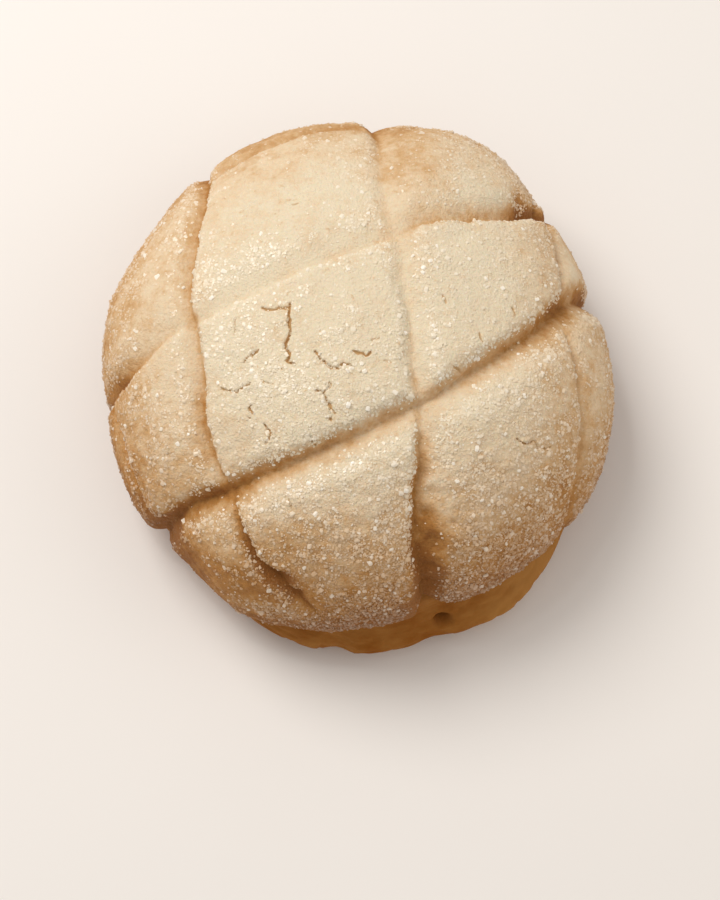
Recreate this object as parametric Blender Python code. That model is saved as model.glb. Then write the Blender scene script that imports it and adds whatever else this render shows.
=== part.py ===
"""Melon pan: a round sweet roll baked under a scored biscuit crust.

Two pieces: the bread, a low dome with a flat baked base, and the biscuit crust, a shell that
lies on it like a cap. The crust is scored before baking, so its grooves are laid out here as
they are cut: on the crust as a flat round sheet, which then drapes over the dome.
Metres, +Z up. The origin is the middle of the base, and the front of the bun is at -Y.
"""

import math
from typing import NamedTuple

import bmesh
import bpy
import numpy as np

MM = 0.001

# The dome, measured over the biscuit crust
HALF_WIDTH = 53 * MM
HALF_DEPTH = 56 * MM
HEIGHT = 50 * MM
WIDEST_HEIGHT = 14 * MM
DOME_SQUARENESS = 2.15
# Below the widest level the sides turn under towards this far below the base, which cuts them flat
UNDER_BASE = 6 * MM
UNDER_SQUARENESS = 2.8
# Uneven swelling of the plan outline: (bulges round it, share of the radius, azimuth of one)
SWELLING = ((3, 0.012, -28), (4, 0.016, -23))
# Its local dents and bulges: (azimuth, half width, amount)
OUTLINE_BUMPS = (
    (-130, 18, -1.7 * MM), (40, 9, -0.8 * MM), (57, 20, 0.8 * MM), (86, 24, -2.0 * MM),
    (150, 24, -1.3 * MM),
)

# The crust
CRUST_THICKNESS = 5 * MM
THINNEST_CRUST = 1.6 * MM
GAP = 0.5 * MM
# The flat sheet's length for each radian down the dome
SHEET_PER_RADIAN = 54.0
# How far down the sheet reaches, in its own millimetres, at azimuths spaced evenly from +X
RIM_REACH = (93, 94, 95, 96, 95, 94, 93, 92, 90, 86, 84, 90)
# The tiles round over by this much over this distance from the rim, and grooves notch it by this much
RIM_DROP = 2.6 * MM
RIM_ROUNDING = 4.5
RIM_NOTCH = 8.0
# Below the rim the cutter that hollows the crust steps out past the tiles
HOLLOW_SHOULDER = math.radians(3)
HOLLOW_FLARE = 4 * MM

# The bread
BREAD_SIDE_INSET = 2.5 * MM
BREAD_SHOULDER = math.radians(3)
# Where the bread swells out past the crust, at the front: (azimuth, half width, amount)
BREAD_BULGES = ((-99, 35, 6.8 * MM), (-60.5, 45, 8.6 * MM))
BULGE_RISE = math.radians(20)

# The icospheres' subdivisions, and the shares of their triangles that stay
FINE_SPHERE = 7
CRUST_KEPT = 0.075
HOLLOW_KEPT = 0.02
BREAD_KEPT = 0.045

CRUST_COLOUR = (0.76, 0.56, 0.33, 1.0)
CRUST_ROUGHNESS = 0.75
BREAD_COLOUR = (0.52, 0.24, 0.07, 1.0)
BREAD_ROUGHNESS = 0.55


class Groove(NamedTuple):
    """A scored line: points on the flat sheet in its millimetres, and values spread evenly along it.

    Those are its depths, and how wide its sides are on the left and right of the way it runs.
    """

    route: tuple
    depths: tuple
    left: tuple
    right: tuple


GROOVES = (
    Groove(((-72, -14), (-65, -27), (-61, -41), (-60, -48)), (0.9, 1.3, 0.8), (2.6,), (3.4,)),
    Groove(((-50, 76), (-39, 45), (-37, 22), (-35.5, -1), (-34, -24), (-28, -43), (-20.5, -58),
            (-11, -72.5)), (1.8, 1.7, 1.8, 2.6, 1.0), (3.4, 3.2, 3.0, 2.8), (5.0, 6.0, 5.0, 3.0)),
    Groove(((1, 92), (4.5, 60), (5.5, 28), (10, 2), (12.3, -20), (12.5, -40), (17, -63), (23, -86)),
           (2.2, 1.8, 1.6, 2.2, 3.0, 2.4), (7.0, 8.0, 4.5, 7.0, 7.0), (2.8, 3.2, 3.0, 2.8)),
    Groove(((38, 78), (51, 40), (52, 18), (50.5, -1), (54, -18.5), (59, -41), (70, -62)),
           (1.4, 2.0, 1.4, 1.1, 0.9, 0.6), (4.0,), (2.8,)),
    Groove(((-38, 41), (-17.5, 50.5), (3.5, 57), (44, 69), (60, 74)), (1.3, 1.1, 1.1), (4.0,), (2.8,)),
    Groove(((-88, -16), (-55, -9), (-31, 0), (-4.5, 10), (14.5, 19.5), (40.5, 32.5), (66, 50), (78, 58)),
           (1.4, 1.6, 1.2, 1.8, 3.0, 1.8), (4.0, 6.0, 6.0, 4.0, 3.6), (3.0, 2.6, 2.8, 5.0)),
    Groove(((-72, -62), (-54, -50.5), (-28, -38), (-2, -25), (25, -10), (48, 5), (74, 20), (90, 27)),
           (1.6, 2.6, 3.0, 3.4, 3.4, 2.2), (3.6, 4.0, 4.4, 3.8), (5.0, 6.5, 6.5, 5.0)),
)


def bumps_at(azimuth, bumps):
    """The sum of the bumps, each one smooth and as high as its amount at its own azimuth."""
    total = 0
    for middle, half_width, amount in bumps:
        turn = np.angle(np.exp(1j * (azimuth - math.radians(middle))))
        total = total + amount * np.cos(np.clip(turn / math.radians(half_width), -1, 1) * math.pi / 2) ** 2
    return total


def plan_radius(azimuth):
    """The dome's radius at its widest, by azimuth."""
    ellipse = 1 / np.hypot(np.cos(azimuth) / HALF_WIDTH, np.sin(azimuth) / HALF_DEPTH)
    swelling = sum(
        share * np.cos(count * (azimuth - math.radians(start))) for count, share, start in SWELLING
    )
    return ellipse * (1 + swelling) + bumps_at(azimuth, OUTLINE_BUMPS)


def dome_points(azimuth, slope, inset):
    """Points on the dome, moved in by inset. The slope runs from 0 at the top past pi / 2 at the widest."""
    upper = slope <= math.pi / 2
    power = np.where(upper, 2 / DOME_SQUARENESS, 2 / UNDER_SQUARENESS)
    out = np.abs(np.sin(slope)) ** power
    up = np.abs(np.cos(slope)) ** power
    radius = (plan_radius(azimuth) - inset) * out
    above = (HEIGHT - inset - WIDEST_HEIGHT) * up
    under = -(WIDEST_HEIGHT + UNDER_BASE) * up
    height = WIDEST_HEIGHT + np.where(upper, above, under)
    return np.stack([radius * np.cos(azimuth), radius * np.sin(azimuth), height], axis=-1)


def smooth_route(points, steps=12):
    """A Catmull-Rom curve through the points of a route."""
    ends = np.array([points[0], *points, points[-1]], float)
    t = np.linspace(0, 1, steps, endpoint=False)[:, None]
    spans = [
        0.5 * (2 * b + (c - a) * t + (2 * a - 5 * b + 4 * c - d) * t**2 + (3 * b - a - 3 * c + d) * t**3)
        for a, b, c, d in zip(ends, ends[1:], ends[2:], ends[3:])
    ]
    return np.vstack([*spans, ends[-1:]])


def nearest_on(route, at):
    """How far each point is from a route, on which side (left is above 0), and its share along it."""
    away = np.full(len(at), np.inf)
    side = np.zeros(len(at))
    along = np.zeros(len(at))
    for number, (start, end) in enumerate(zip(route, route[1:])):
        run = end - start
        offset = at - start
        share = np.clip(offset @ run / (run @ run), 0, 1)
        gap = np.hypot(*(offset - share[:, None] * run).T)
        closer = gap < away
        away = np.where(closer, gap, away)
        side = np.where(closer, run[0] * offset[:, 1] - run[1] * offset[:, 0], side)
        along = np.where(closer, number + share, along)
    return away, side, along / (len(route) - 1)


def spread(values, along):
    """Reads values that are spread evenly along a route."""
    return np.interp(along, np.linspace(0, 1, len(values)), values)


def groove_depth(azimuth, slope):
    """How deep the scoring is below the tiles' tops, in millimetres. Its walls are rounded like a pillow's."""
    at = (SHEET_PER_RADIAN * slope)[:, None] * np.stack([np.cos(azimuth), np.sin(azimuth)], axis=-1)
    drape = np.sinc(slope / math.pi)  # the sheet's own millimetres shrink as it wraps down the sides
    depth = np.zeros(len(at))
    for groove in GROOVES:
        away, side, along = nearest_on(smooth_route(groove.route), at)
        half_width = np.where(side > 0, spread(groove.left, along), spread(groove.right, along))
        wall = np.clip(1 - away * drape / half_width, 0, 1)
        depth = np.maximum(depth, spread(groove.depths, along) * wall**2 * (3 - 2 * wall))
    return depth


def reach_slope(azimuth):
    """The slope at which the crust ends, between its notches."""
    places = np.linspace(0, 2 * math.pi, len(RIM_REACH) + 1)
    return np.interp(np.mod(azimuth, 2 * math.pi), places, [*RIM_REACH, RIM_REACH[0]]) / SHEET_PER_RADIAN


def rim_slope(azimuth):
    """The slope at which the crust ends. Each groove draws the edge up into a notch."""
    reach = reach_slope(azimuth)
    deepest = max(max(groove.depths) for groove in GROOVES)
    return reach - RIM_NOTCH / SHEET_PER_RADIAN * groove_depth(azimuth, reach) / deepest


def ease(value, start, width):
    """From 0 at the start to 1 at the end of the width, with level ends."""
    share = np.clip((value - start) / width, 0, 1)
    return share * share * (3 - 2 * share)


def tile_inset(azimuth, slope):
    """The crust's outside: pillow tiles between the grooves, rounded over towards the rim."""
    to_edge = np.clip((rim_slope(azimuth) - slope) * SHEET_PER_RADIAN / RIM_ROUNDING, 0, 1)
    rounding = RIM_DROP * (1 - np.sqrt(1 - (1 - to_edge) ** 2))
    deepest = CRUST_THICKNESS - THINNEST_CRUST
    return np.minimum(groove_depth(azimuth, slope) * MM + rounding, deepest)


def hollow_inset(azimuth, slope):
    """The crust's inside, which flares out through the outside below the rim."""
    flare = ease(slope, rim_slope(azimuth) - HOLLOW_SHOULDER / 2, HOLLOW_SHOULDER)
    return CRUST_THICKNESS - (CRUST_THICKNESS + HOLLOW_FLARE) * flare


def bread_inset(azimuth, slope):
    """The bread lies close under the crust, fills out below its rim, and bulges past it at the front."""
    under_crust = CRUST_THICKNESS + GAP
    rim = reach_slope(azimuth) + HOLLOW_SHOULDER / 2
    bulge = bumps_at(azimuth, BREAD_BULGES) * ease(slope, rim, BULGE_RISE)
    return under_crust + (BREAD_SIDE_INSET - under_crust) * ease(slope, rim, BREAD_SHOULDER) - bulge


def dome_body(name, inset_of, kept, collection, flat=True):
    """A closed dome whose surface lies at the inset given by azimuth and slope, cut flat at the base.

    It starts fine, and then keeps only this share of its triangles: fewer where it is smooth,
    and more along the grooves.
    """
    bm = bmesh.new()
    bmesh.ops.create_icosphere(bm, subdivisions=FINE_SPHERE, radius=1)
    at = np.array([vertex.co for vertex in bm.verts])
    azimuth = np.arctan2(at[:, 1], at[:, 0])
    slope = np.arccos(np.clip(at[:, 2], -1, 1))
    for vertex, point in zip(bm.verts, dome_points(azimuth, slope, inset_of(azimuth, slope))):
        vertex.co = point
    if flat:
        geometry = [*bm.verts, *bm.edges, *bm.faces]
        bmesh.ops.bisect_plane(bm, geom=geometry, plane_co=(0, 0, 0), plane_no=(0, 0, 1), clear_inner=True)
        bmesh.ops.holes_fill(bm, edges=[edge for edge in bm.edges if edge.is_boundary])
    mesh = bpy.data.meshes.new(name)
    bm.to_mesh(mesh)
    bm.free()
    mesh.shade_smooth()
    body = bpy.data.objects.new(name, mesh)
    collection.objects.link(body)
    decimate = body.modifiers.new("Fewer triangles", "DECIMATE")
    decimate.ratio = kept
    return body


def paint(body, colour, roughness):
    material = bpy.data.materials.new(body.name)
    material.use_nodes = True
    shader = material.node_tree.nodes["Principled BSDF"]
    shader.inputs["Base Color"].default_value = colour
    shader.inputs["Roughness"].default_value = roughness
    body.data.materials.append(material)


def make_crust(collection, cutters):
    """The crust: a scored dome, hollowed out for the bread and cut off along its rim."""
    hollow = dome_body("hollow", hollow_inset, HOLLOW_KEPT, cutters, flat=False)
    hollow.hide_render = True
    hollow.display_type = "WIRE"
    crust = dome_body("biscuit_crust", tile_inset, CRUST_KEPT, collection)
    paint(crust, CRUST_COLOUR, CRUST_ROUGHNESS)
    cut = crust.modifiers.new("Hollow", "BOOLEAN")
    cut.operation = "DIFFERENCE"
    cut.object = hollow


def make_bread(collection):
    bread = dome_body("bread", bread_inset, BREAD_KEPT, collection)
    paint(bread, BREAD_COLOUR, BREAD_ROUGHNESS)


def new_collection(name):
    collection = bpy.data.collections.new(name)
    bpy.context.scene.collection.children.link(collection)
    return collection


def main():
    for old in list(bpy.data.objects):
        bpy.data.objects.remove(old)
    bun = new_collection("melon_pan_bun")
    cutters = new_collection("cutters")
    make_bread(bun)
    make_crust(bun, cutters)


main()
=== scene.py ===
"""The looks of a melon pan: brown bread, a scored biscuit crust over it, and sugar on the crust.

The crust is laid out as the flat round sheet that it's cut from, in millimetres, and then drapes
over the dome. Azimuths and slopes on the dome are in radians, and the front is at -Y.
"""

import math
from typing import NamedTuple

import bmesh
import bpy
import numpy as np
from bpy.props import FloatProperty, FloatVectorProperty, IntProperty, PointerProperty
from mathutils import Matrix, Vector, noise


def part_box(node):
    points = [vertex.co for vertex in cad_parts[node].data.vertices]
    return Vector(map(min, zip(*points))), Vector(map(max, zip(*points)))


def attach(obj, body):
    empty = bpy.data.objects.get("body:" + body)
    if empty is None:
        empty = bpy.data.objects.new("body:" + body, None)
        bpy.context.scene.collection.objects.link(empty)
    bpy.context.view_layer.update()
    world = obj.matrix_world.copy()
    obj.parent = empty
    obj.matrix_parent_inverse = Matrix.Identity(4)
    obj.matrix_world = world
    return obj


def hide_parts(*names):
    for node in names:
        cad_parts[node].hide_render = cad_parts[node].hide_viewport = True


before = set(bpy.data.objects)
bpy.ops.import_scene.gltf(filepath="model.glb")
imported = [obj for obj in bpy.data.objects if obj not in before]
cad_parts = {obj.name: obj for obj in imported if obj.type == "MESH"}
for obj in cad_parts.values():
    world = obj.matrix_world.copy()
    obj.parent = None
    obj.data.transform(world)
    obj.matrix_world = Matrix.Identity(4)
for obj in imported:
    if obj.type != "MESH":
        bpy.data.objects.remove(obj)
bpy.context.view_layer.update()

bl_info = {
    "name": "Melon pan bun",
    "version": (1, 0, 0),
    "blender": (4, 5, 0),
    "location": "3D View > Sidebar > Melon pan",
    "description": "Finishes a melon pan: baked bread, scored biscuit crust and sugar",
    "category": "Object",
}

CRUST_LOW, CRUST_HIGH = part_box("biscuit_crust")

MM = 0.001
BODY = "root"

# The dome over the crust, in millimetres. It bends in again below its widest height, towards a base
# that lies under the floor.
HALF_WIDTH = (CRUST_HIGH.x - CRUST_LOW.x) / 2 / MM
HALF_DEPTH = HALF_WIDTH * 56 / 53
HEIGHT = CRUST_HIGH.z / MM
WIDEST_HEIGHT = 14
DOME_SQUARENESS = 2.15
UNDER_BASE = 6
UNDER_SQUARENESS = 2.8

# Waves round the outline: how many, their share of the radius, and the azimuth of a crest in degrees
SWELLING = ((3, 0.012, -28), (4, 0.016, -23))

# Bumps, here and on the bread: azimuth and half width in degrees, and how far they stand out
OUTLINE_BUMPS = ((-130, 18, -1.7), (40, 9, -0.8), (57, 20, 0.8), (86, 24, -2.0), (150, 24, -1.3))

# How far the sheet reaches down the dome in millimetres, in equal turns from +X
RIM_REACH = (93, 94, 95, 96, 95, 94, 93, 92, 90, 86, 84, 90)
SHEET_PER_RADIAN = 54.0

# The crust, in millimetres. A groove is shallower on the rim, and between grooves the tiles rise.
CRUST_THICKNESS = 5
THINNEST_CRUST = 1.2
RIM_DROP = 1.5
RIM_ROUNDING = 4.0
RIM_THICKNESS = 1.3
RIM_NOTCH = 8.0
GROOVE_BOTTOM = 0.25
GROOVE_AT_RIM = 0.6
CROWN_WIDTH = 13
CROWN_HEIGHT = 0.55
SUGAR_LAYER = 0.12

# The crust's browning, and painted shade in its grooves and dents. A steep groove is tinted over its width,
# and a gentle one only along its line; the wide tint spreads a weaker painted shade over a groove's sides.
BAKE_START = math.radians(28)
BAKE_SPREAD = math.radians(96)
BAKE_AT_FRONT = math.radians(44)
BROWNEST_AZIMUTH = math.radians(-85)
RIM_BROWNING = 0.25
VALLEY_BROWNING = 0.04
CREASE_BROWNING_AND_SHADE = 0.48
FROST_SHARE = 0.14
GENTLE_TINT = 0.8
GENTLE_STEEPNESS = 0.38
STEEPNESS_TO_FULL = 0.24
TINT_STARTS = 0.7
TINT_GROWS = 1.5
WIDE_TINT = 0.8
WIDE_TINT_REACH = 0.65
DENT_SHADE = 0.2
DARKEST_CRACK = 0.35

# The bread, in millimetres. Its lighter side is painted light, written like a bump, with how light it is at
# the end.
BREAD_GAP = 0.4
BREAD_SIDE_INSET = 2.5
BREAD_BULGES = ((-99, 35, 6.8), (-60.5, 45, 8.6), (-94, 5, -1.4), (-74, 6, -1.0))
BREAD_PAINTED_LIGHT_SIDE = ((-49, 19, 0.9),)
BULGE_RISE = math.radians(20)
SHOULDER_ABOVE_RIM = math.radians(7)
SHOULDER_RISE = math.radians(6.5)
WRINKLE_DEPTH = 0.35

# The bread's small hole: its middle on the sheet, its reach across and along, and its depth
BREAD_HOLE = ((30.3, -89), (2.6, 2.0), 5.0)

# The sugar: how its crystals lie, and how thickly they cover the crust
SUGAR_LEAN = math.radians(32)
SUGAR_FACET = 0.38
SUGAR_CROWDING = 1.7
USUAL_SUGAR = 0.45
FRONT_SUGAR = 0.3
EDGE_SUGAR = 0.35
BARE_SHARE = 0.85
GROOVE_BARE_SHARE = 0.93
DUST_SIZE = 0.7

# How the unit sphere is shared out: tiles' tops, the rounded lip, and the inside
TOP_ANGLE = math.radians(85)
LIP_ANGLE = math.radians(93)

# The stage, in metres, and its lights: name, place, width, watts and colour
FLOOR_SIDE = 4.0
FLOOR_COLOURS = ((0.875, 0.83, 0.79), (0.895, 0.85, 0.81))
SKY_COLOUR = (1.0, 0.97, 0.93)
SKY_STRENGTH = 0.495
LIGHTS = (
    ("window_light", (-0.34, 0.30, 0.62), 0.45, 3.5, (1.0, 0.98, 0.95)),
    ("fill_light", (0.58, -0.08, 0.38), 0.6, 0.7, (1.0, 0.95, 0.88)),
    ("sparkle_light", (-0.18, 0.12, 0.75), 0.06, 0.22, (1.0, 1.0, 1.0)),
)
CAMERA_TARGET = Vector((0, 0, 0.022))
CAMERA_ELEVATION = math.radians(68)
CAMERA_DISTANCE = 0.4
CAMERA_LENS = 77.44

# The camera looks past its target by these angles, so that the bun stands above the middle
LOOK_DOWN = math.radians(2.696)
LOOK_RIGHT = math.radians(0.117)


class Groove(NamedTuple):
    """A scored line on the flat sheet. Its depths and the widths of its sides are spread along it."""

    route: tuple
    depths: tuple
    left: tuple
    right: tuple


GROOVES = (
    Groove(((-72, -14), (-68, -21.5), (-65, -27), (-62.5, -34), (-61, -41), (-60, -48)),
           (0.9, 1.3, 1.2, 0.8, 0.3), (2.0,), (3.4,)),
    Groove(((-50, 76), (-44, 60), (-39, 45), (-37, 33), (-37, 22), (-36.5, 10), (-34.8, -1), (-32.7, -13),
            (-32.5, -24), (-30.1, -34), (-26.9, -43), (-23.9, -52), (-20.5, -58), (-15.5, -66), (-11, -72.5)),
           (1.8, 1.8, 1.8, 1.8, 1.8, 1.8, 1.5, 2.0, 1.0), (3.6, 3.4, 3.4, 3.4, 3.0, 1.8),
           (5.0, 6.0, 7.0, 6.0, 4.0, 3.0)),
    Groove(((1, 92), (3, 76), (4.5, 60), (5.3, 42), (5.1, 28), (7.3, 13), (9.2, 2), (9.9, -9), (12, -20),
            (13, -30), (12.5, -40), (14, -52), (17, -63), (20, -75), (23, -86)),
           (2.0, 2.0, 1.5, 0.8, 0.9, 1.4, 2.0, 2.4, 2.7, 2.4), (10, 12, 11, 6.5, 6.0, 7.0, 9.0, 9.0, 8.0),
           (2.8, 3.0, 3.8, 4.0, 3.4, 2.6, 2.6, 2.4)),
    Groove(((38, 78), (46, 58), (51, 40), (52.5, 30), (52, 18), (50, 6), (50.5, -1), (52, -9), (54, -18.5),
            (56, -30), (59, -41), (63, -51), (70, -62)),
           (1.4, 2.0, 2.0, 1.4, 1.2, 0.9, 0.7, 0.5, 0.3), (4.0, 4.0), (2.0, 2.0, 3.0)),
    Groove(((-38, 41), (-29, 46), (-17.5, 50.5), (-9, 54), (3.5, 57), (20, 62), (44, 69), (60, 74)),
           (1.2, 1.1, 1.0, 1.0, 1.0), (4.0,), (2.4,)),
    Groove(((-88, -16), (-70, -13), (-55, -9), (-41, -2.5), (-31, 0), (-14.5, 6.5), (-4.5, 10), (5, 13.5),
            (14.5, 19.5), (28, 25.5), (40.5, 32.5), (52, 40), (66, 50), (78, 58)),
           (1.2, 1.4, 1.2, 1.0, 1.0, 1.3, 2.2, 3.0, 1.6, 2.0), (4.0, 7.0, 8.0, 8.0, 5.0, 3.6, 3.6),
           (3.0, 2.6, 2.0, 2.2, 4.0, 5.0)),
    Groove(((-72, -62), (-62, -55.3), (-54, -51), (-41, -44.2), (-28, -38.7), (-15.5, -31.7), (-2, -25.7),
            (11.5, -19.1), (25, -10.5), (36, -3.9), (48, 4.8), (58.5, 12.5), (74, 20), (90, 27)),
           (1.6, 2.2, 2.4, 2.6, 2.7, 2.9, 3.2, 3.4, 3.0, 2.0), (4.0, 4.2, 4.4, 4.6, 5.0, 4.2),
           (6.0, 7.0, 8.0, 8.0, 6.0)),
)

# Where the sheet is almost free of sugar: middle, reach across and along, in millimetres
BARE_PATCHES = (
    ((50, 42), (7, 8)),
    ((31, 29), (9, 4)),
    ((55, 19), (6, 15)),
    ((61, 27), (7, 16)),
    ((-14, 55), (40, 9)),
    ((12, 42), (7, 20)),
    ((-46, 4), (7, 16)),
    ((18, -60), (5, 30)),
    ((-12, -67), (5, 5)),
    ((-18, -60), (4.5, 3.5)),
    ((57, -25), (3, 20)),
    ((-70, -30), (5, 20)),
)

# Where the sugar lies thicker: middle, reach across and along, in millimetres, and how much
SUGARY_PATCHES = (
    ((-14, -15), (12, 3.5), 0.45),
    ((38, -48), (14, 16), 0.35),
    ((8, -52), (4, 20), 0.4),
    ((-20, -72), (9, 3), 0.8),
    ((9, -62), (3, 14), 0.4),
    ((40, 46), (9, 5), 0.4),
    ((-50, -64), (26, 13), -0.5),
    ((-24, 36), (14, 14), -0.4),
    ((-16, 22), (15, 11), -0.5),
)

# Where the sheet is browner or paler: middle, reach across and along, in millimetres, and how much. Some
# patches are baked browning, the dark ones in pockets and nooks are painted shade, and pale ones, as on the
# right strip, are painted light.
BROWNING_SHADE_AND_LIGHT_PATCHES = (
    ((18.5, -65), (4.5, 10), 0.2),
    ((42, 37.5), (4, 3), 0.26),
    ((-17.5, -60), (4, 3.5), 0.42),
    ((-62, -11), (9, 3.5), 0.16),
    ((-61, -54), (6, 5), 0.22),
    ((-44, -46), (9, 6), -0.14),
    ((-34, -52), (6, 5), -0.14),
    ((-70, -26), (6, 17), -0.16),
    ((70, -14), (12, 30), -0.24),
    ((80, -34), (9, 14), 0.12),
    ((55, -44), (13, 13), -0.08),
    ((-5, 80), (60, 14), 0.19),
    ((11, 32), (8, 18), 0.32),
    ((-16, 56), (30, 11), 0.19),
    ((-26, -74), (18, 9), -0.26),
    ((-12, 36), (22, 14), 0.07),
    ((-58, 46), (13, 18), 0.10),
    ((4, -78), (26, 8), 0.08),
    ((-5, -46), (18, 7), 0.05),
    ((-34, -46), (9, 5), -0.10),
    ((-20, -38), (9, 5), -0.12),
    ((-6, -32), (9, 5), -0.12),
    ((8, -25), (9, 5), -0.10),
    ((-52, -70), (22, 10), -0.10),
    ((32, -20), (12, 10), -0.04),
    ((33, 30), (10, 4.5), -0.3),
    ((18.5, -46), (4.5, 14), 0.08),
    ((14.5, -48), (2.5, 13), -0.22),
    ((58, 27), (6, 15), -0.2),
    ((64, 12), (11, 6), -0.22),
    ((-36, -43), (12, 4), -0.08),
)


class Dent(NamedTuple):
    """A hollow pressed into the sheet: its middle, its reach across and along, and its depth."""

    middle: tuple
    reach: tuple
    depth: float


DENTS = (
    Dent((14.3, -34), (1.6, 2.2), 0.7),
    Dent((16.2, -38.5), (1.7, 1.6), 0.9),
    Dent((15.5, -44), (2.4, 2.0), 1.0),
    Dent((21.5, -45.5), (0.8, 0.8), 0.6),
    Dent((17.5, -52), (2.6, 2.8), 1.1),
    Dent((18.5, -60), (2.4, 2.4), 0.7),
    Dent((20, -67), (3.0, 3.4), 0.9),
    Dent((42, 37), (3.4, 2.4), 1.6),
    Dent((-62, -11), (6.0, 3.4), 0.6),
    Dent((-18, -59), (2.4, 2.2), 1.1),
    Dent((-14.5, -65), (1.8, 2.0), 0.9),
    Dent((56, 43), (4.0, 4.0), -1.4),
    Dent((-61, -54), (4.0, 3.0), 0.9),
)


class Crack(NamedTuple):
    """A crack in a tile: points on the flat sheet, half its width, and its depth."""

    route: tuple
    half_width: float
    depth: float


CRACKS = (
    Crack(((-17.5, 0), (-15.5, -0.5), (-13.5, -0.2), (-11.8, -0.2)), 0.24, 0.45),
    Crack(((-11.7, 0.6), (-12, -1.5), (-12, -3), (-11.8, -5), (-12.5, -7.2), (-12, -9), (-12.4, -10.5),
           (-11, -10.8)), 0.3, 0.65),
    Crack(((-21.2, -10.4), (-19.5, -9.2), (-18.2, -8.4)), 0.26, 0.45),
    Crack(((-23.3, -1.5), (-23.5, -4.8)), 0.12, 0.2),
    Crack(((-7.1, -8.6), (-5.7, -9.8), (-4.3, -10.9), (-3, -11.2), (-2, -10.5), (-0.7, -10.9)), 0.2, 0.5),
    Crack(((-0.3, -8.2), (1, -8.6), (1.7, -9.3), (2.5, -8.3)), 0.22, 0.45),
    Crack(((-26.3, -15.5), (-24.4, -16), (-23.5, -16.3), (-21.6, -15.6), (-19.8, -14.7)), 0.22, 0.4),
    Crack(((-17.7, -14.3), (-15.4, -15)), 0.16, 0.3),
    Crack(((-6.8, -15.5), (-5.6, -15.9), (-5, -17.6), (-3.8, -19.7)), 0.24, 0.5),
    Crack(((-5.6, -15.9), (-4.4, -14.8), (-4.4, -14)), 0.2, 0.4),
    Crack(((-20.1, -19.1), (-20.3, -20.1), (-19.7, -20.8)), 0.22, 0.4),
    Crack(((-20.9, -21.6), (-20.5, -21.8)), 0.2, 0.35),
    Crack(((-17.3, -23), (-16.1, -24.3), (-16.4, -25.5), (-17, -26.5)), 0.32, 0.5),
    Crack(((-8.6, -24.3), (-7.9, -25.2), (-7.6, -26.2)), 0.16, 0.35),
    Crack(((-14.2, -12), (-13.3, -11.8)), 0.2, 0.3),
    Crack(((-4.6, -20.8), (-4.2, -21.1)), 0.25, 0.35),
    Crack(((-12.4, 22.7), (-11.2, 22.7)), 0.16, 0.25),
    Crack(((16.3, 2.4), (16.9, 1)), 0.16, 0.3),
    Crack(((32, 1.8), (32.7, 0.4)), 0.16, 0.3),
    Crack(((23.4, -4.3), (23.9, -6.2)), 0.16, 0.3),
    Crack(((18, -11), (19.9, -12)), 0.14, 0.25),
    Crack(((32.8, -25.4), (34, -26.3), (35.3, -26.4), (36.6, -25.9)), 0.18, 0.45),
    Crack(((37.1, -25.7), (38.6, -27.2), (41, -27.6), (42.7, -27.2)), 0.14, 0.3),
    Crack(((-13.2, -37.2), (-12.6, -39.5)), 0.14, 0.25),
    Crack(((2.7, -6.3), (4, -5.8)), 0.12, 0.2),
    Crack(((4.8, -10.1), (6.2, -10.5)), 0.12, 0.2),
)


class MelonPanSettings(bpy.types.PropertyGroup):
    """The colours and the sugar of the bun."""

    pale_colour: FloatVectorProperty(
        name="Pale colour", description="Biscuit on top of the middle tiles",
        subtype="COLOR", default=(0.84, 0.71, 0.51), min=0, max=1)
    cream_colour: FloatVectorProperty(
        name="Cream colour", description="Biscuit down the sides",
        subtype="COLOR", default=(0.80, 0.60, 0.385), min=0, max=1)
    golden_colour: FloatVectorProperty(
        name="Golden colour", description="Lightly browned biscuit",
        subtype="COLOR", default=(0.675, 0.42, 0.205), min=0, max=1)
    brown_colour: FloatVectorProperty(
        name="Brown colour", description="Well browned biscuit near the rim",
        subtype="COLOR", default=(0.49, 0.225, 0.055), min=0, max=1)
    crusty_colour: FloatVectorProperty(
        name="Crusty colour", description="The darkest biscuit, and the bread",
        subtype="COLOR", default=(0.31, 0.115, 0.02), min=0, max=1)
    crack_colour: FloatVectorProperty(
        name="Crack colour", description="Biscuit inside the cracks",
        subtype="COLOR", default=(0.58, 0.33, 0.125), min=0, max=1)
    bread_colour: FloatVectorProperty(
        name="Bread colour", description="The bread's brown side",
        subtype="COLOR", default=(0.285, 0.09, 0.006), min=0, max=1)
    light_bread_colour: FloatVectorProperty(
        name="Light bread colour", description="Lighter patches on the bread's side",
        subtype="COLOR", default=(0.42, 0.185, 0.04), min=0, max=1)
    base_colour: FloatVectorProperty(
        name="Base colour", description="The bread's baked underside",
        subtype="COLOR", default=(0.36, 0.17, 0.06), min=0, max=1)
    sugar_colour: FloatVectorProperty(
        name="Sugar colour", description="Granulated sugar",
        subtype="COLOR", default=(1.0, 0.915, 0.79), min=0, max=1)
    coarse_count: IntProperty(
        name="Coarse grains", description="How many large sugar crystals lie on the crust",
        default=1800, min=0, max=4500)
    coarse_size: FloatProperty(
        name="Coarse size", description="The usual size of a large crystal",
        subtype="DISTANCE", unit="LENGTH", default=0.6 * MM, min=0.1 * MM)
    fine_count: IntProperty(
        name="Fine grains", description="How many small sugar crystals lie on the crust",
        default=16500, min=0, max=16600)
    fine_size: FloatProperty(
        name="Fine size", description="The usual size of a small crystal",
        subtype="DISTANCE", unit="LENGTH", default=0.36 * MM, min=0.05 * MM)
    seed: IntProperty(
        name="Seed", description="Starts the random places of the sugar", default=7)


# ---------------------------------------------------------------- shapes on the dome and the sheet


def bumps_at(azimuth, bumps):
    """The sum of the bumps round the outline, each as high as its amount at its own azimuth."""
    total = np.zeros_like(azimuth)
    for middle, half_width, amount in bumps:
        turn = np.angle(np.exp(1j * (azimuth - math.radians(middle))))
        total += amount * np.cos(np.clip(turn / math.radians(half_width), -1, 1) * math.pi / 2) ** 2
    return total


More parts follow.
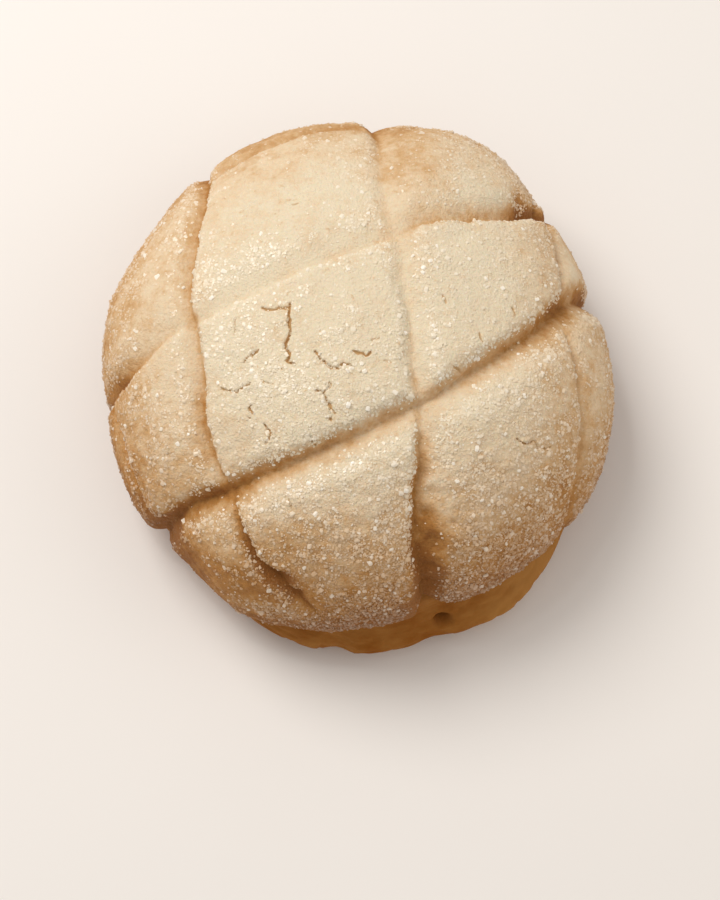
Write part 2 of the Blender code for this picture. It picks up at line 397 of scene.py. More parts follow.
def plan_radius(azimuth):
    """The dome's radius at its widest, by azimuth."""
    ellipse = 1 / np.hypot(np.cos(azimuth) / HALF_WIDTH, np.sin(azimuth) / HALF_DEPTH)
    swelling = sum(
        share * np.cos(count * (azimuth - math.radians(start))) for count, share, start in SWELLING
    )
    return ellipse * (1 + swelling) + bumps_at(azimuth, OUTLINE_BUMPS)


def dome_points(azimuth, slope, inset):
    """Points on the dome, moved in by inset. The slope runs from 0 at the top past pi / 2 at the widest."""
    upper = slope <= math.pi / 2
    power = np.where(upper, 2 / DOME_SQUARENESS, 2 / UNDER_SQUARENESS)
    out = np.abs(np.sin(slope)) ** power
    up = np.abs(np.cos(slope)) ** power
    radius = (plan_radius(azimuth) - inset) * out
    above = (HEIGHT - inset - WIDEST_HEIGHT) * up
    under = -(WIDEST_HEIGHT + UNDER_BASE) * up
    height = WIDEST_HEIGHT + np.where(upper, above, under)
    return np.stack([radius * np.cos(azimuth), radius * np.sin(azimuth), height], axis=-1)


def sheet_points(azimuth, slope):
    """Where the places lie on the flat sheet."""
    return (SHEET_PER_RADIAN * slope)[:, None] * np.stack([np.cos(azimuth), np.sin(azimuth)], axis=-1)


def smooth_route(points, steps=10):
    """A Catmull-Rom curve through the points of a route."""
    ends = np.array([points[0], *points, points[-1]], float)
    t = np.linspace(0, 1, steps, endpoint=False)[:, None]
    spans = [
        0.5 * (2 * b + (c - a) * t + (2 * a - 5 * b + 4 * c - d) * t**2 + (3 * b - a - 3 * c + d) * t**3)
        for a, b, c, d in zip(ends, ends[1:], ends[2:], ends[3:])
    ]
    return np.vstack([*spans, ends[-1:]])


def nearest_on(route, at):
    """How far each place is from a route, on which side (left is above 0), and its share along it."""
    away = np.full(len(at), np.inf)
    side = np.zeros(len(at))
    along = np.zeros(len(at))
    lengths = np.hypot(*np.diff(route, axis=0).T)
    starts = np.cumsum([0, *lengths[:-1]])
    for start, end, length, passed in zip(route, route[1:], lengths, starts):
        run = (end - start) / length
        offset = at - start
        share = np.clip(offset @ run, 0, length)
        gap = offset - share[:, None] * run
        distance = np.hypot(*gap.T)
        closer = distance < away
        away = np.where(closer, distance, away)
        side = np.where(closer, run[0] * offset[:, 1] - run[1] * offset[:, 0], side)
        along = np.where(closer, passed + share, along)
    return away, np.sign(side), along / lengths.sum()


def spread(values, along):
    """Reads values that are spread evenly along a route."""
    return np.interp(along, np.linspace(0, 1, len(values)), values)


def ease(value, start, width):
    """From 0 at the start to 1 at the end of the width, with level ends."""
    share = np.clip((value - start) / width, 0, 1)
    return share * share * (3 - 2 * share)


def lumps(points, size, seed=0, stretch=(1, 1, 1)):
    """Smooth noise from about -1 to 1 with lumps of this size."""
    scaled = points / (size * np.array(stretch)) + 37.7 * seed
    return np.array([noise.noise(place) for place in scaled.tolist()])


def sheet_lumps(at, size, seed=9):
    """Smooth noise from about -1 to 1 over the flat sheet."""
    return lumps(np.column_stack([at, np.zeros(len(at))]), size, seed)


def wobbled(at):
    """The places on the sheet moved about a little, so that no scored line runs true."""
    shift = [0.55 * sheet_lumps(at, 6, 21 + axis) + 0.4 * sheet_lumps(at, 1.9, 23 + axis) for axis in (0, 1)]
    return at + np.stack(shift, axis=-1)


def scoring(at, slope):
    """The grooves at places on the sheet: their depth and nearness, the tiles' rounding, and the tint, which
    is browning and painted shade along them.
    """
    drape = np.sinc(slope / math.pi)
    cubes = np.zeros(len(at))
    closeness = np.zeros(len(at))
    crown = np.zeros(len(at))
    crease = np.zeros(len(at))
    for groove in GROOVES:
        away, side, along = nearest_on(smooth_route(groove.route), at)
        away = away * drape
        depth = spread(groove.depths, along)
        half_width = np.where(side > 0, spread(groove.left, along), spread(groove.right, along))
        bottom = np.hypot(away, GROOVE_BOTTOM) - GROOVE_BOTTOM
        cubes += (depth * np.clip(1 - bottom / half_width, 0, 1) ** 2) ** 3
        closeness = np.maximum(closeness, np.clip(1 - away / half_width, 0, 1))
        crown = np.maximum(crown, CROWN_HEIGHT * np.clip(1 - away / CROWN_WIDTH, 0, 1) ** 2)
        steep = ease(depth / half_width, GENTLE_STEEPNESS, STEEPNESS_TO_FULL)
        tinted = GENTLE_TINT + (half_width - GENTLE_TINT) * steep
        strength = ease(depth, TINT_STARTS, TINT_GROWS)
        # The tint is browning and painted shade along the groove, and the wide tint is painted shade over its
        # sides.
        crease = np.maximum(crease, strength * ease(tinted - away, 0, tinted * 0.8))
        reach = half_width * WIDE_TINT_REACH
        crease = np.maximum(crease, strength**3 * WIDE_TINT * ease(reach - away, 0, reach))
    return np.cbrt(cubes), closeness, crown, crease


def reach_slope(azimuth):
    """The slope at which the crust ends, between its notches."""
    places = np.linspace(0, 2 * math.pi, len(RIM_REACH) + 1)
    return np.interp(np.mod(azimuth, 2 * math.pi), places, [*RIM_REACH, RIM_REACH[0]]) / SHEET_PER_RADIAN


def rim_slope(azimuth):
    """The slope at which the crust ends: drawn up at each groove, and ragged."""
    reach = reach_slope(azimuth)
    depth = scoring(sheet_points(azimuth, reach), reach)[0]
    deepest = max(max(groove.depths) for groove in GROOVES)
    ring_radius = 50
    ring = np.stack([np.cos(azimuth), np.sin(azimuth), np.zeros_like(azimuth)], axis=-1) * ring_radius
    ragged = 0.9 * lumps(ring, 7, 3) + 0.6 * lumps(ring, 2.5, 4)
    return reach + (ragged - RIM_NOTCH * depth / deepest) / SHEET_PER_RADIAN


def directions(unit):
    """The azimuth of directions, and their angle from the top."""
    return np.arctan2(unit[:, 1], unit[:, 0]), np.arccos(np.clip(unit[:, 2], -1, 1))


def crust_places(unit):
    """Where directions lie on the crust: azimuth, slope, the rim's slope, and shares of lip and inside."""
    azimuth, angle = directions(unit)
    reach, rim = reach_slope(azimuth), rim_slope(azimuth)
    lip = np.clip((angle - TOP_ANGLE) / (LIP_ANGLE - TOP_ANGLE), 0, 1)
    inside = np.clip((angle - LIP_ANGLE) / (math.pi - LIP_ANGLE), 0, 1)
    share = np.clip(angle / TOP_ANGLE, 0, 1)
    slope = (reach * share + (rim - reach) * share**6) * (1 - inside)
    return azimuth, slope, rim, lip, inside


def dent_depth(at):
    """The dents' depth at places on the sheet."""
    depth = np.zeros(len(at))
    for dent in DENTS:
        depth += dent.depth * np.exp(-(((at - dent.middle) / dent.reach) ** 2).sum(1))
    return depth


def crack_depth(at):
    """The cracks' depth at places on the sheet. They wander a little off their routes."""
    depth = np.zeros(len(at))
    for crack in CRACKS:
        route = smooth_route(crack.route, 4)
        low, high = route.min(0) - 2, route.max(0) + 2
        near = np.flatnonzero(((at > low) & (at < high)).all(1))
        shake = np.stack([sheet_lumps(at[near], 1.1, 25 + axis) for axis in (0, 1)], axis=-1)
        away, _, along = nearest_on(route, at[near] + 0.3 * shake)
        wander = sheet_lumps(at[near], 0.55) * 0.14
        half_width = crack.half_width * np.sqrt(np.clip(4 * along * (1 - along), 0.15, 1))
        wall = 1 - ease(away + wander, half_width * 0.5, 0.28)
        depth[near] = np.maximum(depth[near], crack.depth * wall)
    return depth


def patched(at, patches):
    """The sum of soft patches on the sheet, each given by its middle, its reach and its amount."""
    return sum(amount * np.exp(-(((at - middle) / reach) ** 2).sum(1)) for middle, reach, amount in patches)


def browning(azimuth, slope):
    """How brown the crust has baked, from 0 to 1: more down the sides, and most at the front. Its patches add
    browning, painted shade in pockets and nooks, and painted light where they make it paler.
    """
    front = 0.5 + 0.5 * np.cos(azimuth - BROWNEST_AZIMUTH)
    baked = np.clip((slope - BAKE_START) / (BAKE_SPREAD - BAKE_AT_FRONT * front), 0, 1.1)
    return baked + patched(sheet_points(azimuth, slope), BROWNING_SHADE_AND_LIGHT_PATCHES)


def sugared(at, slope, rim, closeness):
    """How thickly the sugar lies: most on the tiles' edges and at the front, least in the grooves."""
    patches = USUAL_SUGAR + 0.4 * sheet_lumps(at, 9) + 0.5 * sheet_lumps(at, 3.2, 10)
    patches += 0.5 * sheet_lumps(at, 1.4, 14)
    front = ease(-at[:, 1], -10, 70) * ease(at[:, 0], -45, 40)
    edge = ease(closeness, 0.02, 0.2) * (1 - ease(closeness, 0.35, 0.3))
    to_rim = (rim - slope) * SHEET_PER_RADIAN
    bare = np.zeros(len(at))
    for middle, reach in BARE_PATCHES:
        bare = np.maximum(bare, np.exp(-(((at - middle) / reach) ** 2).sum(1) ** 2))
    heaped = patched(at, SUGARY_PATCHES)
    thickness = np.clip(patches + FRONT_SUGAR * front + EDGE_SUGAR * edge + heaped, 0, 1)
    thickness *= 1 - BARE_SHARE * bare
    return thickness * (1 - GROOVE_BARE_SHARE * ease(closeness, 0.5, 0.35)) * ease(to_rim, 0.5, 4)


# ---------------------------------------------------------------- meshes


def cut_edges(bm, cuts, chosen):
    """Cuts the edges whose two ends are both chosen, and puts all points back on the unit sphere."""
    edges = [edge for edge in bm.edges if all(chosen(vertex) for vertex in edge.verts)]
    bmesh.ops.subdivide_edges(bm, edges=edges, cuts=cuts, use_grid_fill=True)
    for vertex in bm.verts:
        vertex.co.normalize()
    bm.verts.index_update()


def sphere(cuts, low, high):
    """A unit icosphere as a bmesh, whose triangles are cut smaller from the low to the high height."""
    bm = bmesh.new()
    bmesh.ops.create_icosphere(bm, subdivisions=5, radius=1)
    cut_edges(bm, cuts, lambda vertex: low < vertex.co.z < high)
    return bm


def crack_distance(at):
    """How far places on the sheet are from the nearest crack."""
    nearest = np.full(len(at), np.inf)
    for crack in CRACKS:
        away, _, _ = nearest_on(smooth_route(crack.route, 4), at)
        nearest = np.minimum(nearest, away)
    return nearest


def mesh_from(bm, name):
    """Makes a mesh of triangles from the bmesh."""
    bmesh.ops.triangulate(bm, faces=bm.faces)
    mesh = bpy.data.meshes.new(name)
    bm.to_mesh(mesh)
    bm.free()
    return mesh


def points_of(mesh):
    """The mesh's points, one in each row."""
    points = np.empty(len(mesh.vertices) * 3, np.float32)
    mesh.vertices.foreach_get("co", points)
    return points.reshape(-1, 3).astype(float)


def set_points(mesh, points):
    """Moves the mesh's points to these places, in millimetres."""
    mesh.vertices.foreach_set("co", (points * MM).astype(np.float32).ravel())
    mesh.shade_smooth()
    mesh.update()


def give_values(mesh, **values):
    """Keeps a value at each point of the mesh for its material to read."""
    for name, value in values.items():
        attribute = mesh.attributes.new(name, "FLOAT", "POINT")
        attribute.data.foreach_set("value", np.asarray(value, np.float32))


def values_of(mesh, name):
    """Reads the values that give_values has kept."""
    values = np.empty(len(mesh.vertices), np.float32)
    mesh.attributes[name].data.foreach_get("value", values)
    return values


def add_piece(name, mesh, material, node):
    """Puts a piece in the scene, riding on the bun. It may stand in for a node's plain solid."""
    mesh.materials.append(material)
    piece = bpy.data.objects.new(name, mesh)
    bpy.context.scene.collection.objects.link(piece)
    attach(piece, BODY)
    if node:
        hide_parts(node)


def plain_crust_mesh():
    """The sphere that becomes the crust, with its smallest triangles near the cracks."""
    bm = sphere(6, -0.06, math.inf)
    for reach in (1.3, 0.6):
        unit = np.array([vertex.co for vertex in bm.verts])
        azimuth, slope, _, _, inside = crust_places(unit)
        near = (crack_distance(sheet_points(azimuth, slope)) < reach) & (inside == 0)
        cut_edges(bm, 1, lambda vertex: near[vertex.index])
    return mesh_from(bm, "biscuit_crust_baked")


def turned_in(outer, depth, lip, inside):
    """How far in the crust's surface lies, round its lip and inside, and how far the lip bulges."""
    rim_inner = RIM_DROP + depth * GROOVE_AT_RIM + RIM_THICKNESS
    thicker = CRUST_THICKNESS + (rim_inner - CRUST_THICKNESS) * (1 - ease(inside, 0, 0.12))
    inner = np.where(inside > 0, thicker, rim_inner)
    turn = (1 - np.cos(math.pi * lip)) / 2
    inset = np.where(inside > 0, inner, outer + (inner - outer) * turn)
    return inset, (inner - outer) / 2 * np.sin(math.pi * lip) * (inside == 0)


def make_crust_mesh():
    mesh = plain_crust_mesh()
    azimuth, slope, rim, lip, inside = crust_places(points_of(mesh))
    at = sheet_points(azimuth, slope)
    plain = dome_points(azimuth, slope, 0)
    wobbly = wobbled(at)
    depth, closeness, crown, crease = scoring(wobbly, slope)
    dents = dent_depth(wobbly)
    depth += dents
    sugar = sugared(at, slope, rim, closeness)
    cracks = crack_depth(at)

    to_rim = np.clip((rim - slope) * SHEET_PER_RADIAN / RIM_ROUNDING, 0, 1)
    rounding = RIM_DROP * (1 - np.sqrt(1 - (1 - to_rim) ** 2))
    uneven = 0.45 * lumps(plain, 16, 1) + 0.22 * lumps(plain, 6, 2)
    front = 0.4 + 0.9 * ease(-at[:, 1], -10, 60)
    ripples = 0.12 * lumps(plain, 1.5, 5, (3, 1, 1)) * front
    grain = (0.2 * lumps(plain, 2.4, 6) + 0.13 * lumps(plain, 1.1, 7)) * front * (0.6 + 0.4 * sugar)
    outer = np.minimum(depth + crown, CRUST_THICKNESS - THINNEST_CRUST) + rounding
    outer = outer + uneven + ripples + grain + cracks - SUGAR_LAYER * sugar

    inset, bulge = turned_in(outer, depth, lip, inside)
    set_points(mesh, dome_points(azimuth, slope + 0.6 * bulge / SHEET_PER_RADIAN, inset))
    give_values(
        mesh,
        valley=closeness,
        # The creases and dents get browning and painted shade.
        crease=np.clip(crease + DENT_SHADE * np.clip(dents, 0, 1.4), 0, 1),
        # The baked values carry the patches of painted shade and painted light too.
        baked=browning(azimuth, slope) + RIM_BROWNING * ease(lip, 0, 0.6),
        sugar=sugar * (lip == 0),
        crack=np.clip(cracks / DARKEST_CRACK, 0, 1),
    )
    return mesh


def bread_points(azimuth, slope):
    """The bread's surface, close under the crust and bulging out at the front, and its hole's share."""
    rim = reach_slope(azimuth)
    under_crust = CRUST_THICKNESS + BREAD_GAP
    swell = bumps_at(azimuth, BREAD_BULGES) * ease(slope, rim, BULGE_RISE)
    shoulder = ease(slope, rim - SHOULDER_ABOVE_RIM, SHOULDER_RISE)
    inset = under_crust + (BREAD_SIDE_INSET - under_crust) * shoulder - swell
    plain = dome_points(azimuth, slope, 0)
    inset += 0.3 * lumps(plain, 12, 11) + 0.16 * lumps(plain, 4, 12) + 0.07 * lumps(plain, 1.5, 13)
    wrinkles = np.abs(lumps(plain, 2.2, 15, (3, 3, 1)))
    inset += WRINKLE_DEPTH * (1 - ease(wrinkles, 0, 0.16))
    middle, reach, depth = BREAD_HOLE
    off = (((sheet_points(azimuth, slope) - middle) / reach) ** 2).sum(1)
    hollow = np.exp(-(off**2))
    points = dome_points(azimuth, slope, inset + depth * hollow)
    points[:, 2] = np.maximum(points[:, 2], 0)
    return points, hollow


def make_bread_mesh():
    mesh = mesh_from(sphere(4, -0.75, 0.35), "bread_roll")
    azimuth, slope = directions(points_of(mesh))
    points, hollow = bread_points(azimuth, slope)
    set_points(mesh, points)
    underside = 1 - ease(points[:, 2], 0.2, 1.5)
    # The bread is lighter higher up, and its right side is painted light.
    paler = points[:, 2] / HEIGHT * 0.5 + bumps_at(azimuth, BREAD_PAINTED_LIGHT_SIDE) * 0.4
    give_values(mesh, underside=underside, paler=paler, hollow=hollow)
    return mesh


# ---------------------------------------------------------------- sugar


class Grains(NamedTuple):
    """A kind of sugar: how sizes differ, its worn edges, how deep it lies, its least and most white."""

    size_spread: float
    bevel: float
    sunk: float
    whiteness: tuple


COARSE_GRAINS = Grains(0.28, 0.14, 0.1, (0.15, 0.95))
FINE_GRAINS = Grains(0.30, 0, 0.2, (0.0, 0.5))


def crystal(bevel):
    """One sugar crystal of unit size: a block with slanted sides and worn edges."""
    bm = bmesh.new()
    bmesh.ops.create_cube(bm, size=1)
    for vertex in bm.verts:
        vertex.co.x += 0.16 * vertex.co.z
        vertex.co.y *= 0.8
    if bevel:
        bmesh.ops.bevel(bm, geom=bm.edges[:], offset=bevel, segments=1, affect="EDGES")
    bmesh.ops.triangulate(bm, faces=bm.faces)
    points = np.array([vertex.co for vertex in bm.verts])
    faces = np.array([[vertex.index for vertex in face.verts] for face in bm.faces])
    bm.free()
    return points, faces


def lying_frames(random, normal, lean):
    """Axes for crystals that lie on the surface, turned at random and leaning a little."""
    up = normal + random.normal(0, math.tan(lean), normal.shape)
    up /= np.linalg.norm(up, axis=1, keepdims=True)
    across = np.cross(up, random.normal(size=up.shape))
    across /= np.linalg.norm(across, axis=1, keepdims=True)
    return np.stack([across, np.cross(up, across), up], axis=-1)


def places_on(mesh, random, count):
    """Random places on the mesh, most where sugar lies thick, with their normals and the crust's browning,
    with its painted shade and light.
    """
    corners = np.empty(len(mesh.loop_triangles) * 3, np.int32)
    mesh.loop_triangles.foreach_get("vertices", corners)
    corners = corners.reshape(-1, 3)
    points = points_of(mesh)
    a, b, c = (points[corners[:, n]] for n in range(3))
    normal = np.cross(b - a, c - a)
    area = np.linalg.norm(normal, axis=1)
    weight = area * values_of(mesh, "sugar")[corners].mean(1) ** SUGAR_CROWDING
    chosen = random.choice(len(corners), count, p=weight / weight.sum())
    s, t = random.random((2, count))
    fold = s + t > 1
    s, t = np.where(fold, 1 - s, s), np.where(fold, 1 - t, t)
    at = a[chosen] + s[:, None] * (b - a)[chosen] + t[:, None] * (c - a)[chosen]
    baked = values_of(mesh, "baked")[corners[chosen, 0]]
    return at, normal[chosen] / area[chosen][:, None], baked


def softened_normals(triangles, below):
    """Normals at the crystals' corners, turned towards the crust's, as light passes through sugar."""
    facing = np.cross(triangles[:, 1] - triangles[:, 0], triangles[:, 2] - triangles[:, 0])
    facing /= np.linalg.norm(facing, axis=1, keepdims=True)
    normals = SUGAR_FACET * facing + (1 - SUGAR_FACET) * below
    normals /= np.linalg.norm(normals, axis=1, keepdims=True)
    return np.repeat(normals, 3, axis=0).astype(np.float32)


def make_sugar_mesh(name, crust, grains, count, size, seed):
    """Sugar crystals scattered on the crust as one mesh."""
    random = np.random.default_rng(seed)
    at, normal, baked = places_on(crust, random, count)
    points, faces = crystal(grains.bevel)
    larger = random.normal(0, grains.size_spread, count)
    sizes = size * np.exp(np.clip(larger, -2, 1.6 * grains.size_spread))
    stretch = random.uniform(0.75, 1.25, (count, 1, 3))
    shapes = points[None] * stretch * sizes[:, None, None]
    shapes = np.einsum("nij,nkj->nki", lying_frames(random, normal, SUGAR_LEAN), shapes)
    shapes += (at - normal * (sizes * grains.sunk)[:, None])[:, None, :]
    vertices = shapes.reshape(-1, 3)
    numbers = (faces[None] + np.arange(count)[:, None, None] * len(points)).reshape(-1, 3)
    mesh = bpy.data.meshes.new(name)
    mesh.from_pydata(vertices.tolist(), [], numbers.tolist())
    mesh.update()
    below = np.repeat(normal, len(faces), axis=0)
    mesh.normals_split_custom_set(softened_normals(vertices[numbers], below))
    least, most = grains.whiteness
    white = least + (most - least) * random.random(count) ** 2
    give_values(mesh, baked=np.repeat(baked, len(points)), white=np.repeat(white, len(points)))
    return mesh


# ---------------------------------------------------------------- materials


class Wire:
    """A shader socket in Python maths. Values add Math nodes, and node() adds any other node."""

    def __init__(self, tree, socket=None):
        self.tree = tree
        self.socket = socket

    def node(self, kind, settings=None, output=0, **sockets):
        """A new node: its settings are set first, then its sockets, from values or other wires."""
        made = self.tree.nodes.new(kind)
        for name, value in (settings or {}).items():
            if name == "stops":
                ramp = made.color_ramp.elements
                while len(ramp) < len(value):
                    ramp.new(1)
                for stop, (position, colour) in zip(ramp, value):
                    stop.position = position
                    stop.color = (*colour, 1)
            else:
                setattr(made, name, value)
        for name, value in sockets.items():
            key = int(name[1:]) if name[0] == "i" and name[1:].isdigit() else name.replace("_", " ")
            self.feed(made.inputs[key], value)
        return Wire(self.tree, made.outputs[output])

    def feed(self, target, value):
        """Links a wire to a socket, or sets the socket to a value."""
        if isinstance(value, Wire):
            self.tree.links.new(value.socket, target)
        elif isinstance(value, (tuple, list)) and len(value) == 3 and target.type == "RGBA":
            target.default_value = (*value, 1)
        else:
            target.default_value = value

    def maths(self, operation, first, second):
        """A Math node on two values."""
        return self.node("ShaderNodeMath", {"operation": operation}, i0=first, i1=second)

    def __add__(self, other):
        return self.maths("ADD", self, other)

    def __sub__(self, other):
        return self.maths("SUBTRACT", self, other)

    def __rsub__(self, other):
        return self.maths("SUBTRACT", other, self)

    def __mul__(self, other):
        return self.maths("MULTIPLY", self, other)

    __radd__ = __add__
    __rmul__ = __mul__

    def limit(self):
        """The value kept from 0 to 1."""
        return self.node("ShaderNodeClamp", Value=self)

    def mix(self, first, second):
        """A colour between two, by this value."""
        settings = {"data_type": "RGBA", "clamp_factor": True}
        return self.node("ShaderNodeMix", settings, output=2, i0=self, i6=first, i7=second)


def new_material(name):
    """A new material, its Principled shader, and a wire for its nodes."""
    material = bpy.data.materials.new(name)
    material.use_nodes = True
    shader = material.node_tree.nodes["Principled BSDF"]
    return material, shader, Wire(material.node_tree)


def value_of(wire, name):
    """The value of this name that give_values keeps on the mesh."""
    return wire.node("ShaderNodeAttribute", {"attribute_name": name}, output="Fac")


def millimetres(wire):
    """The place on the piece in millimetres."""
    place = wire.node("ShaderNodeTexCoord", output="Object")
    return wire.node("ShaderNodeVectorMath", {"operation": "SCALE"}, i0=place, Scale=1 / MM)


def mottle(wire, place, size, detail=2.0, roughness=0.5):
    """Noise from 0 to 1 with blotches of about this size in millimetres."""
    return wire.node(
        "ShaderNodeTexNoise", output="Fac", Vector=place, Scale=1 / size, Detail=detail, Roughness=roughness
    )


def stretched_towards(wire, value, low, high):
    """The value mapped from low..high to 0..1."""
    return wire.node("ShaderNodeMapRange", Value=value, From_Min=low, From_Max=high)


def baking_colour(wire, baked, settings):
    """The colour of biscuit from unbaked at 0 to the darkest crust at 1."""
    stops = (
        (0.0, settings.pale_colour),
        (0.28, settings.cream_colour),
        (0.5, settings.golden_colour),
        (0.75, settings.brown_colour),
        (1.0, settings.crusty_colour),
    )
    return wire.node("ShaderNodeValToRGB", {"stops": stops}, Fac=baked)


def crust_material(settings):
    material, shader, wire = new_material("baked_biscuit")
    place = millimetres(wire)
    valley = value_of(wire, "valley")
    baked = value_of(wire, "baked")
    crack = value_of(wire, "crack")
    crease = value_of(wire, "crease")
    broad = mottle(wire, place, 11, 3)
    blotches = mottle(wire, place, 4, 2)
    fine = mottle(wire, place, 0.9, 4, 0.65)
    specks = mottle(wire, place, 1.6, 2)
    grit = mottle(wire, place, 0.55, 3, 0.6)

    uneven = (fine - 0.5) * 0.35 + (specks - 0.5) * 0.35 + (blotches - 0.5) * 0.5 + (broad - 0.5) * 0.45
    # Creases and dents darken by browning and painted shade. The patches in the baked values paint shade in
    # pockets and nooks, and paint light where they make it paler.
    brown = baked + valley * VALLEY_BROWNING + crease * CREASE_BROWNING_AND_SHADE + uneven
    colour = baking_colour(wire, brown, settings)
    frost = value_of(wire, "sugar") * stretched_towards(wire, grit, 0.45, 0.65) * FROST_SHARE
    colour = frost.mix(colour, tuple(settings.sugar_colour))
    spots = stretched_towards(wire, specks, 0.62, 0.7) * stretched_towards(wire, fine, 0.5, 0.65) * 0.6
    colour = spots.mix(colour, tuple(settings.golden_colour))
    colour = (crack * 0.9).mix(colour, tuple(settings.crack_colour))
    wire.feed(shader.inputs["Base Color"], colour)

    height = fine * 0.5 + grit * 0.5
    bump = wire.node("ShaderNodeBump", Strength=0.8, Distance=MM, Height=height)
    wire.feed(shader.inputs["Normal"], bump)
    wire.feed(shader.inputs["Roughness"], 0.62 + fine * 0.25)
    shader.inputs["Specular IOR Level"].default_value = 0.3
    shader.inputs["Subsurface Weight"].default_value = 0.12
    shader.inputs["Subsurface Radius"].default_value = (1.0, 0.55, 0.3)
    shader.inputs["Subsurface Scale"].default_value = 1.8 * MM
    return material


def bread_material(settings):
    material, shader, wire = new_material("baked_bread")
    place = millimetres(wire)
    broad = mottle(wire, place, 8, 3)
    fine = mottle(wire, place, 0.8, 3)
    streaks = wire.node("ShaderNodeMapping", Vector=place, Scale=(0.35, 0.35, 1.6))
    streaky = mottle(wire, streaks, 1.6, 4, 0.6)
    # The paler values lighten the bread higher up, and paint light on its right side.
    light = stretched_towards(wire, broad * 0.9 + streaky * 0.35 + value_of(wire, "paler"), 0.55, 0.95)
    colour = light.mix(tuple(settings.bread_colour), tuple(settings.light_bread_colour))
    scorched = stretched_towards(wire, broad * 0.7 + fine * 0.3, 0.4, 0.62) * 0.6
    base = scorched.mix(tuple(settings.base_colour), tuple(settings.bread_colour))
    colour = value_of(wire, "underside").mix(colour, base)
    # The hole's inside is painted shade: a darker share of the bread's colour.
    hole_shade_colour = tuple(0.4 * part for part in settings.bread_colour)
    colour = (value_of(wire, "hollow") * 0.9).mix(colour, hole_shade_colour)
    wire.feed(shader.inputs["Base Color"], colour)
    bump = wire.node("ShaderNodeBump", Strength=0.5, Distance=0.6 * MM, Height=fine * 0.4 + streaky * 0.6)
    wire.feed(shader.inputs["Normal"], bump)
    wire.feed(shader.inputs["Roughness"], 0.42 + broad * 0.25)
    shader.inputs["Specular IOR Level"].default_value = 0.12
    shader.inputs["Subsurface Weight"].default_value = 0.06
    shader.inputs["Subsurface Radius"].default_value = (1.0, 0.4, 0.2)
    shader.inputs["Subsurface Scale"].default_value = MM
    return material


def sugar_material(settings):
    material, shader, wire = new_material("sugar_crystal")
    place = millimetres(wire)
    cloudy = mottle(wire, place, 0.5, 2)
    baked = value_of(wire, "baked")
    below = baking_colour(wire, baked * 0.85, settings)
    white = (value_of(wire, "white") * (1.1 - baked * 0.5)).limit()
    wire.feed(shader.inputs["Base Color"], white.mix(below, tuple(settings.sugar_colour)))
    wire.feed(shader.inputs["Roughness"], 0.17 + cloudy * 0.3)
    shader.inputs["IOR"].default_value = 1.56
    return material


def floor_material():
    material, shader, wire = new_material("pale_floor")
    place = millimetres(wire)
    wire.feed(shader.inputs["Base Color"], mottle(wire, place, 60, 2).mix(*FLOOR_COLOURS))
    shader.inputs["Roughness"].default_value = 0.85
    return material


# ---------------------------------------------------------------- stage


def add_floor(scene):
    bm = bmesh.new()
    bmesh.ops.create_grid(bm, x_segments=8, y_segments=8, size=FLOOR_SIDE / 2)
    mesh = bpy.data.meshes.new("floor")
    bm.to_mesh(mesh)
    bm.free()
    mesh.materials.append(floor_material())
    floor = bpy.data.objects.new("floor", mesh)
    scene.collection.objects.link(floor)


def add_light(scene, name, place, size, power, colour):
    light = bpy.data.lights.new(name, "AREA")
    light.shape = "DISK"
    light.size = size
    light.energy = power
    light.color = colour
    lamp = bpy.data.objects.new(name, light)
    lamp.location = place
    lamp.rotation_euler = (CAMERA_TARGET - Vector(place)).to_track_quat("-Z", "Y").to_euler()
    scene.collection.objects.link(lamp)


def light_sky(scene):
    world = bpy.data.worlds.new("soft_room")
    world.use_nodes = True
    background = world.node_tree.nodes["Background"]
    background.inputs["Color"].default_value = (*SKY_COLOUR, 1)
    background.inputs["Strength"].default_value = SKY_STRENGTH
    scene.world = world
    scene.view_settings.view_transform = "Standard"


def add_camera(scene):
    camera = bpy.data.cameras.new("camera")
    camera.lens = CAMERA_LENS
    camera.clip_start = 0.01
    stand = bpy.data.objects.new("camera", camera)
    back = Vector((0, -math.cos(CAMERA_ELEVATION), math.sin(CAMERA_ELEVATION)))
    stand.location = CAMERA_TARGET + CAMERA_DISTANCE * back
    aim = (-back).to_track_quat("-Z", "Y").to_matrix().to_4x4()
    turn = Matrix.Rotation(-LOOK_DOWN, 4, "X") @ Matrix.Rotation(-LOOK_RIGHT, 4, "Y")
    stand.rotation_euler = (aim @ turn).to_euler()
    scene.collection.objects.link(stand)
    scene.camera = stand


# ---------------------------------------------------------------- operators


class MELONPAN_OT_crust(bpy.types.Operator):
    """Make the biscuit crust with its grooves, cracks and browning"""

    bl_idname = "melonpan.crust"
    bl_label = "Biscuit crust"

    def execute(self, context):
        material = crust_material(context.scene.melon_pan)
        add_piece("biscuit_crust_baked", make_crust_mesh(), material, "biscuit_crust")
        return {"FINISHED"}


class MELONPAN_OT_bread(bpy.types.Operator):
    """Make the bread that the crust lies on"""

    bl_idname = "melonpan.bread"
    bl_label = "Bread"

    def execute(self, context):
        material = bread_material(context.scene.melon_pan)
        add_piece("bread_roll", make_bread_mesh(), material, "bread")
        return {"FINISHED"}


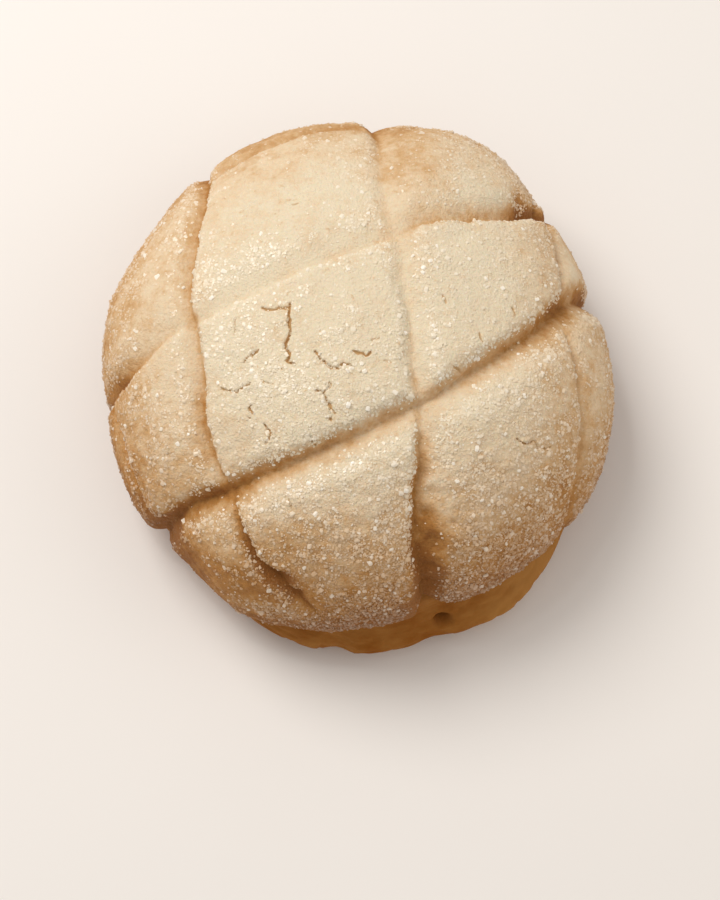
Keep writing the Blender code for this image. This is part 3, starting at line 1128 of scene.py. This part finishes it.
class MELONPAN_OT_sugar(bpy.types.Operator):
    """Scatter coarse and fine sugar on the crust"""

    bl_idname = "melonpan.sugar"
    bl_label = "Sugar"

    def execute(self, context):
        settings = context.scene.melon_pan
        crust = bpy.data.objects.get("biscuit_crust_baked")
        if crust is None:
            raise RuntimeError("the sugar lies on the crust, so make the crust first")
        material = sugar_material(settings)
        crust.data.calc_loop_triangles()
        kinds = (
            ("coarse_sugar", COARSE_GRAINS, settings.coarse_count, settings.coarse_size),
            ("fine_sugar", FINE_GRAINS, settings.fine_count, settings.fine_size),
            ("sugar_dust", FINE_GRAINS, settings.fine_count, settings.fine_size * DUST_SIZE),
        )
        meshes = [
            make_sugar_mesh(name, crust.data, grains, count, size, settings.seed + number)
            for number, (name, grains, count, size) in enumerate(kinds)
        ]
        for mesh in meshes:
            add_piece(mesh.name, mesh, material, None)
        return {"FINISHED"}


class MELONPAN_OT_stage(bpy.types.Operator):
    """Set the pale floor, the soft light and the camera"""

    bl_idname = "melonpan.stage"
    bl_label = "Stage"

    def execute(self, context):
        scene = context.scene
        add_floor(scene)
        for light in LIGHTS:
            add_light(scene, *light)
        light_sky(scene)
        add_camera(scene)
        return {"FINISHED"}


class MELONPAN_PT_panel(bpy.types.Panel):
    """Lists the steps that finish the bun"""

    bl_idname = "MELONPAN_PT_panel"
    bl_label = "Melon pan"
    bl_space_type = "VIEW_3D"
    bl_region_type = "UI"
    bl_category = "Melon pan"

    def draw(self, context):
        settings = context.scene.melon_pan
        for name in MelonPanSettings.__annotations__:
            self.layout.prop(settings, name)
        for step in STEPS:
            self.layout.operator(step.bl_idname)


STEPS = (MELONPAN_OT_crust, MELONPAN_OT_bread, MELONPAN_OT_sugar, MELONPAN_OT_stage)
CLASSES = (MelonPanSettings, *STEPS, MELONPAN_PT_panel)


def register():
    for cls in CLASSES:
        bpy.utils.register_class(cls)
    bpy.types.Scene.melon_pan = PointerProperty(type=MelonPanSettings)


def unregister():
    del bpy.types.Scene.melon_pan
    for cls in reversed(CLASSES):
        bpy.utils.unregister_class(cls)


def main():
    register()
    bpy.ops.melonpan.crust()
    bpy.ops.melonpan.bread()
    bpy.ops.melonpan.sugar()
    bpy.ops.melonpan.stage()


if __name__ == "__main__":
    main()
